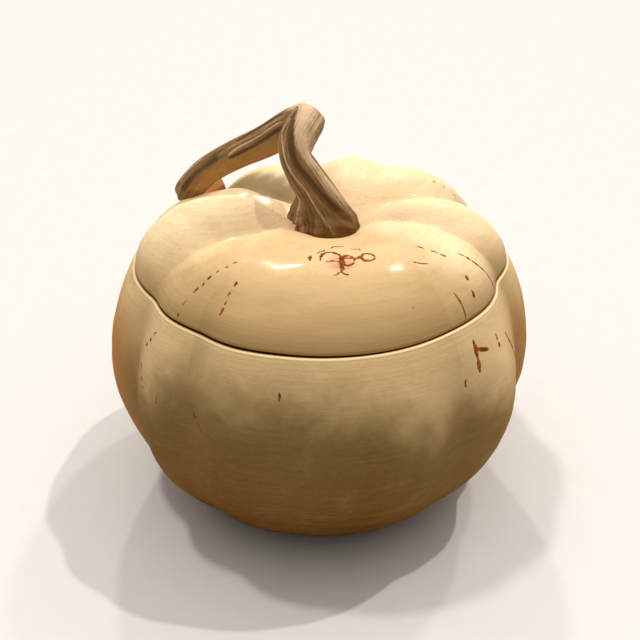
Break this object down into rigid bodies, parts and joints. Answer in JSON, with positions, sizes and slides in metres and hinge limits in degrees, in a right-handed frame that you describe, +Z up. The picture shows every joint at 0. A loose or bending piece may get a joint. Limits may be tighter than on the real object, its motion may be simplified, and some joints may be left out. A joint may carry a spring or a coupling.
{
  "type": "lidded pumpkin jar",
  "caption": "Hollow ceramic pumpkin-shaped jar with uneven lobes, a lobed lid that lifts off, a keyed locating ring under the lid and a bent ribbed stem as its handle.",
  "frame": {"origin": "centre of the foot, on the surface that the jar stands on", "axes": "+Z up; -Y is the front, the broad lobe; the stem lies down towards -X and +Y"},
  "size_m": [0.2827, 0.2809, 0.2653],
  "materials": {
    "cream_glaze": "satin glaze over terracotta, browner towards the foot",
    "brown_stem": "matt taupe brown wash"
  },
  "bodies": {
    "jar": {"jar_body": "cream_glaze"},
    "lid": {"lid_shell": "cream_glaze", "lid_locating_ring": "cream_glaze", "stem_handle": "brown_stem"}
  },
  "joints": [
    {"name": "lid_lift", "type": "slide", "parent": "jar", "child": "lid", "axis": [0, 0, 1], "range_m": [0, 0.12]}
  ]
}
